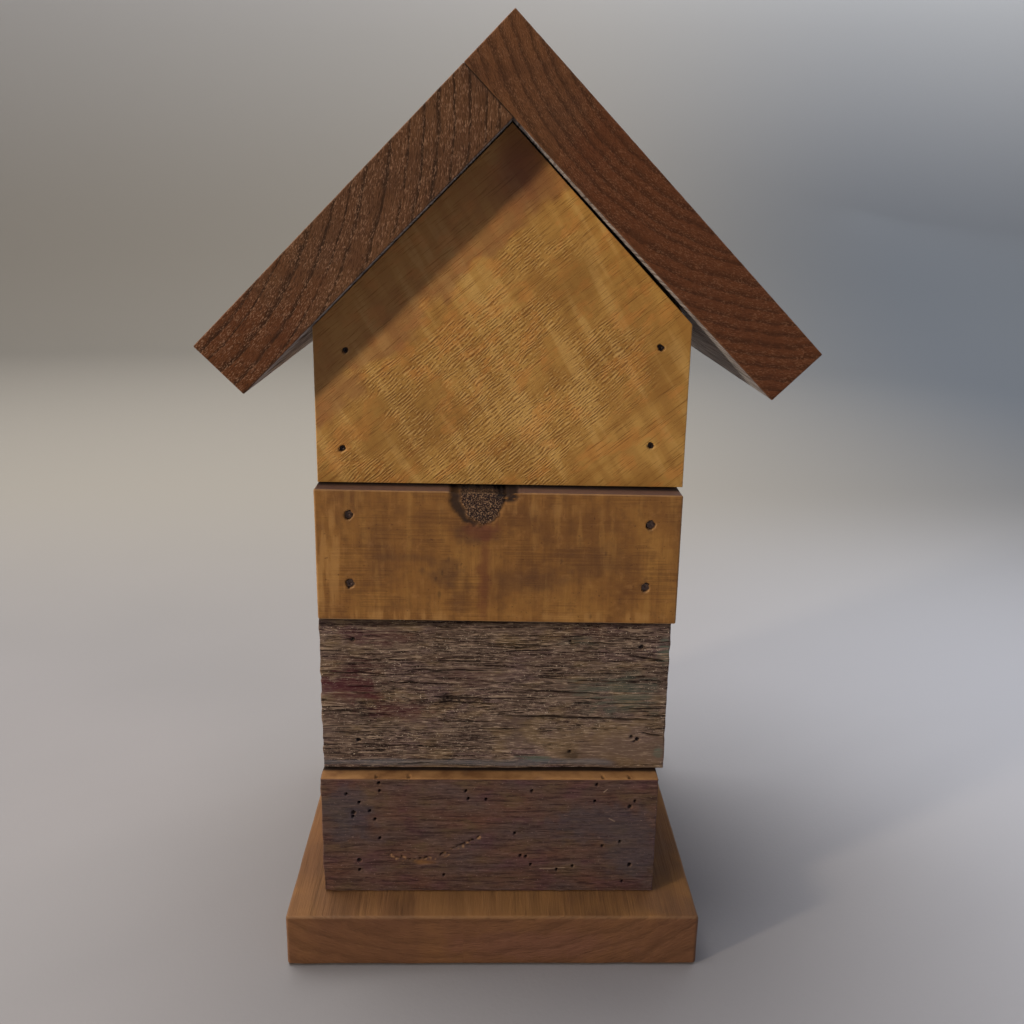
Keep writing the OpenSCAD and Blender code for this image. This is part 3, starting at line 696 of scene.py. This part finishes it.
def rear_lower(u, v, n, out):
    """Insect holes, a worm track with a scraped patch, a raw sawn top edge and a worn corner."""
    face = np.clip(out[:, 2], 0, 1)
    up = np.clip(out[:, 1], 0, 1)
    holes = np.zeros(len(u))
    for at in WORM_HOLES:
        holes = np.maximum(holes, spot(u, v, at, 0.45, 0.35))
    holes = holes * face
    for at in (-40, -29, 37, 46):
        holes = np.maximum(holes, spot(u, n, (at, 60.3), 0.5, 0.4) * up)
    wander = 0.5 * noise(u / 1.6, 0.5 * v, 83)
    track = trail(u, v + wander, WORM_TRACK, 0.7) * face
    track = track * smooth(0.5 + 1.4 * noise(u / 0.9, v / 0.9, 84))
    chips = trail(u, v + 0.6 + wander, WORM_TRACK, 1.6) * face
    chips = chips * smooth(1.4 * noise(u / 0.8, v / 0.8, 94) - 0.1)
    scraped = blot(u, v, (-24.2, 30.6), (8, 2.2), 85) * face
    scratch = crack(u, v, (37.2, 57.6), (38.9, 59.2), 0.6, 86) + crack(u, v, (16, 28.2), (25, 28.6), 0.5, 87)
    scratch = scratch + crack(u, v, (39, 48), (42, 46.8), 0.5, 88) + 0.4 * chips
    raw = smooth(5 * up - 4) * smooth(1.2 + 0.5 * rough(u / 5, n / 3, 89))
    raw = np.maximum(raw, 0.7 * scraped + 0.6 * chips)
    corner = smooth((27 - v) / 5) * smooth((-55 - u) / 3)
    depth = face * (0.3 + 0.08 * rough(u / 20, v / 1.0, 81) + 0.12 * rough(u / 40, v / 8, 82))
    depth = depth + 1.6 * holes + 0.5 * track + 0.2 * scraped + 0.5 * corner * (1 - up)
    depth = depth + (0.25 - 0.2 * up) * (1 - face) * (1 + noise(u / 4, v / 4 + n / 4, 90))
    bloom = blot(u, v, (-50, 50), (20, 22), 91) + blot(u, v, (38, 46), (40, 16), 92)
    bloom = bloom + blot(u, v, (48, 34), (20, 20), 93)
    # painted shade at the back of the top face, in the gap under the middle board
    gap_shade = 0.85 * up * smooth((57.4 - n) / 1.2)
    dark = np.clip(np.maximum.reduce([holes, 0.7 * track, gap_shade]), 0, 1)
    return depth, {"dark": dark, "raw": raw, "scratch": np.clip(scratch, 0, 1) * face * 0.6,
                   "bloom": np.clip(bloom, 0, 1) * face}


def roof(seed, red_from, lapped):
    """Sawn ends, a red stain that begins red_from down the slope, and a raw underside.

    The lapped board's upper end, and the part of the other board that lies on it, are dark.
    """
    def detail(u, v, n, out):
        ends = np.abs(out[:, 1])
        under = np.clip(-out[:, 2], 0, 1)
        down = u - u.min()
        inward = np.minimum(v - v.min(), v.max() - v)
        depth = ends * 0.06 * (1 + rough(u / 1.5, n / 1.5, seed))
        depth = depth + (1 - ends) * 0.03 * (1 + rough(v / 18, u / 1.2, seed + 4))
        ruddy = smooth((down - red_from) / 40 + 0.3 * rough(u / 14, n / 9, seed + 6))
        seam = 0.7 - down if lapped else np.minimum(0.5 - n + n.min(), 21 - down)
        raw = smooth(2.5 * under - 1) * smooth((inward - 1) / 2)
        dark = 0.4 * smooth(2 * seam)
        return depth, {"ruddy": ruddy, "raw": raw, "ends": smooth(3 * ends - 1), "dark": dark}
    return detail


def base_wear(u, v, n, out):
    """Painted light on the top, worn arrises and a reddish smear across the rear end."""
    up = np.clip(out[:, 2], 0, 1)
    depth = 0.03 * (1 + rough(v / 18, u / 1.2, 161)) + 0.1 * (1 - up) * (1 + noise(u / 9, v / 9 + n / 7, 162))
    smear = (0.5 + 0.5 * blot(u, n, (14, 8), (60, 10), 163)) * (1 - up)
    # painted light on the top face, lighter towards its middle
    pale = up * smooth(1.1 - np.abs(u + 4) / 45 + 0.4 * rough(u / 6, v / 30, 164))
    return depth, {"ruddy": smear, "lit_top": pale}


def front_lower(u, v, n, out):
    """Weathered like the rear middle board, with random cracks only."""
    face = np.clip(out[:, 2], 0, 1)
    cracks = checks(u, v, 90, 140, (-60, 21), (56, 73))
    relief = 0.14 * rough(u / 16, v / 0.7, 141, 4) + 0.12 * rough(u / 45, v / 3, 145)
    depth = face * (0.3 + relief + 0.6 * cracks)
    depth = depth + 0.2 * (1 - face) * (1 + noise(u / 4, v / 4 + n / 4, 146))
    red = blot(u, v, (38, 60), (22, 12), 147)
    green = blot(u, v, (-40, 30), (24, 10), 148)
    worn = 0.6 * smooth(0.6 + 0.8 * rough(u / 16, v / 8, 149))
    return depth, {"dark": 0.9 * cracks * face, "red": red * face, "green": 0.6 * green * face, "worn": worn}


def front_entrance(u, v, n, out):
    """Sound pine with two small knots beside the entrance hole."""
    face = np.clip(out[:, 2], 0, 1)
    knot = np.zeros(len(u))
    rim = np.zeros(len(u))
    for at, size in (((-38, 104), 7), ((33, 147), 9)):
        away = np.hypot((u - at[0]) / size * 2, (v - at[1]) / size * 2)
        knot = np.maximum(knot, smooth((1 - away) * 4 + 0.5))
        rim = np.maximum(rim, smooth(1 - np.abs(away - 1.05) * 6))
    depth = face * (0.05 * (1 + rough(u / 20, v / 1.2, 151)) + 0.25 * knot + 0.35 * rim)
    depth = depth + 0.1 * (1 - face) * (1 + noise(u / 8, v / 8 + n / 6, 152))
    red = blot(u, v, (33, 138), (16, 12), 153) + blot(u, v, (-38, 97), (12, 10), 154)
    blotch = 0.5 * blot(u, v, (-20, 145), (22, 16), 155) + 0.5 * blot(u, v, (30, 95), (26, 14), 156)
    return depth, {"dark": 0.8 * rim * face, "knot": knot * face, "red": np.clip(red, 0, 1) * face,
                   "blotch": np.clip(blotch, 0, 1) * face}


# ---------------------------------------------------------------- the camera, the lights and the floor

def rotation(yaw, pitch, roll):
    """Turned left by yaw, up by pitch, then rolled about the line of sight, from looking along +Y."""
    return (Matrix.Rotation(math.radians(yaw), 4, "Z") @ Matrix.Rotation(math.radians(pitch), 4, "X")
            @ Matrix.Rotation(math.radians(roll), 4, "Y") @ Matrix.Rotation(math.radians(90), 4, "X"))


def make_camera():
    data = bpy.data.cameras.new("camera")
    data.sensor_width = 36
    data.lens = 37.89
    data.clip_start = 0.01
    camera = bpy.data.objects.new("camera", data)
    place = Vector((-4.4, -388.8, 249.0)) * MM
    camera.matrix_world = Matrix.Translation(place) @ rotation(-1.56, -15.73, -0.95)
    bpy.context.scene.collection.objects.link(camera)
    bpy.context.scene.camera = camera


def make_light(name, at, size, power, colour, aim=(0, 0, 0.15)):
    """A square lamp that faces the middle of the house, or another aim."""
    data = bpy.data.lights.new(name, "AREA")
    data.size = size
    data.energy = power
    data.color = colour
    lamp = bpy.data.objects.new(name, data)
    lamp.location = at
    lamp.rotation_euler = (Vector(aim) - lamp.location).to_track_quat("-Z", "Y").to_euler()
    bpy.context.scene.collection.objects.link(lamp)


def make_stage():
    """A round pale floor that sweeps up into a low wall, well away from the house on every side."""
    middle, reach, bend, tall, around = (-0.3, -0.5), 2.0, 0.6, 1.6, 96
    gap = 0.0001  # keeps the floor off the base's underside
    turns = [math.radians(a) for a in range(0, 91, 6)]
    profile = [(reach + bend * math.sin(a), bend * (1 - math.cos(a))) for a in turns]
    profile += [(reach + bend, tall)]
    angles = [2 * math.pi * k / around for k in range(around)]
    points = [(middle[0], middle[1], -gap)]
    for radius, z in profile:
        circle = [(radius * math.cos(a), radius * math.sin(a)) for a in angles]
        points += [(middle[0] + x, middle[1] + y, z - gap) for x, y in circle]
    faces = [(0, 1 + k, 1 + (k + 1) % around) for k in range(around)]
    for ring in range(1, 1 + around * (len(profile) - 1), around):
        for k in range(around):
            a, b = ring + k, ring + (k + 1) % around
            faces.append((a, a + around, b + around, b))
    mesh = bpy.data.meshes.new("floor")
    mesh.from_pydata(points, [], faces)
    mesh.shade_smooth()
    t = Tree("pale_cloth", 0.1)
    soft = t.noise((240, 240, 240), seed=30, detail=2)
    weave = t.noise((1.2, 1.2, 1.2), seed=31, detail=2)
    parts = t.add("ShaderNodeSeparateXYZ", {0: t.place}).outputs
    near = t.ramp(soft, (0.3, (121, 118, 114)), (0.7, (127, 123, 119)))
    # painted light: the near floor is paler and bluer to the right, where the house's shadow falls
    near = t.mix(t.step(parts[0], -0.1, 0.4), near, (147, 148, 150))
    # painted shadow: the far sweep is darker and cooler to the right
    far = t.mix(t.step(parts[0], 0.0, 0.8), (130, 125, 114), (88, 92, 96))
    # painted light: the sweep is paler towards its top
    far = t.mix(t.step(parts[2], 0.1, 1.5), far, (226, 228, 228))
    front = t.mix(t.step(parts[2], 0.0, 0.5), near, (186, 188, 200))
    colour = t.mix(t.step(parts[1], 0.12, 0.6), front, far)
    folds = t.math("MULTIPLY", t.noise((150, 50, 120), turn=(0, 0, 35), seed=32, detail=1), 2.5)
    folds = t.math("MULTIPLY", folds, t.step(parts[1], 0.25, 0.0))
    height = t.math("ADD", folds, t.math("MULTIPLY", weave, 0.05))
    mesh.materials.append(t.finish(colour, height, t.step(soft, -3, 0.6)))
    floor = bpy.data.objects.new("floor", mesh)
    bpy.context.scene.collection.objects.link(floor)


def make_world():
    world = bpy.data.worlds.new("room")
    world.use_nodes = True
    background = world.node_tree.nodes["Background"]
    background.inputs["Color"].default_value = (0.50, 0.57, 1.0, 1)
    background.inputs["Strength"].default_value = 0.20
    bpy.context.scene.world = world
    bpy.context.scene.view_settings.view_transform = "Standard"


make_camera()
make_world()
make_stage()
make_light("key", (-1.75, -1.2, 0.62), 0.16, 30, (1.0, 0.84, 0.66))
make_light("overhead", (-0.3, 0.35, 1.6), 1.4, 54, (0.98, 0.97, 1.0))
make_light("fill", (1.0, 1.4, 0.7), 0.9, 3, (0.9, 0.95, 1.0))
make_light("backdrop", (0.9, 1.0, 1.2), 0.8, 9, (0.95, 0.97, 1.0), (0.7, 2.1, 0.6))


# ---------------------------------------------------------------- the house

gold = golden_sawn("golden_sawn", SAW_LEAN)
pine = knotty_pine("knotty_pine")
grey = weathered_grey("weathered_grey")
dark = wormy_dark("wormy_dark")
walls = stained_board("side_pine", (0, 90, 0), 3.4, (135, 92, 48), (149, 103, 55), (161, 115, 65), grain="z",
                      late=0.35, flecks=0.15, rough=0.3)
base = stained_board("base_stain", (-10, 0, 130), 7, (107, 74, 46), (117, 82, 50), (136, 97, 56),
                     (128, 88, 68), late=0.2, crisp=0.2, flecks=0.25, wobble=2.0, rough=0.26)
brown = stained_board("roof_brown", (-150, 0, 276), 4.4, (93, 63, 42), (102, 69, 45), (113, 79, 52),
                      (100, 58, 32), late=0.7, crisp=0.75, flecks=0.65, wobble=0.35, rough=0.7)
red = stained_board("roof_red", (91, 0, 329), 3.4, (100, 65, 42), (113, 74, 46), (126, 85, 54),
                    (102, 59, 35), late=0.5, crisp=0.15, flecks=0.25, rough=0.4)

board("rear_gable_panel", REAR, gold, gable, (0.4, 0.4, 3), 0.35,
      nails=["rear_gable_brads"], pit=0.95)
board("rear_upper_board", REAR, pine, rear_upper, (0.35, 0.35, 3), 0.7,
      nails=["rear_upper_nails"], pit=1.35)
board("rear_middle_board", REAR, grey, rear_middle, (0.5, 0.22, 1.5), 0.5,
      nails=["rear_middle_brads"], pit=0.65)
board("rear_lower_board", REAR, dark, rear_lower, (0.32, 0.32, 1.2), 0.6,
      nails=["rear_lower_brads"], pit=0.6)
board("front_gable_panel", FRONT, gold, gable, (0.5, 0.5, 3), 0.4,
      nails=["front_gable_brads"], pit=1.05)
board("front_entrance_board", FRONT, pine, front_entrance, (0.5, 0.5, 2), 0.7,
      nails=["front_entrance_nails"], pit=1.5, hole=(-1, 127, 16))
board("front_lower_board", FRONT, grey, front_lower, (0.6, 0.25, 2), 0.5,
      nails=["front_lower_nails"], pit=1.5)
board("left_side_wall", LEFT, walls, sound(101), (0.6, 2, 3), 0.5)
board("right_side_wall", RIGHT, walls, sound(111), (0.6, 2, 3), 0.5)
board("roof_left_board", ROOF_LEFT, brown, roof(121, 60, True), (0.6, 1.5, 0.6), 0.4,
      nails=["roof_left_nails"], pit=1.5)
board("roof_right_board", ROOF_RIGHT, red, roof(131, 15, False), (0.6, 1.5, 0.6), 0.4,
      nails=["roof_right_nails", "ridge_nails"], pit=1.5)
board("base_plank", FLAT, base, base_wear, (0.8, 0.8, 1.0), 1.2)

metals = {
    "dark_brad": steel("dark_brad", (40, 30, 26), (34, 20, 15), 0.2),
    "nail_steel": steel("nail_steel", (96, 78, 68), (52, 34, 28), 0.1),
    "screw_zinc": steel("screw_zinc", (190, 176, 130), (150, 128, 84), 0.1)}
for part in frame["record"]["subparts"]:
    if part.get("material_slot") in metals:
        node = frame["nodes"][part["node"]]
        node.data.materials.clear()
        node.data.materials.append(metals[part["material_slot"]])
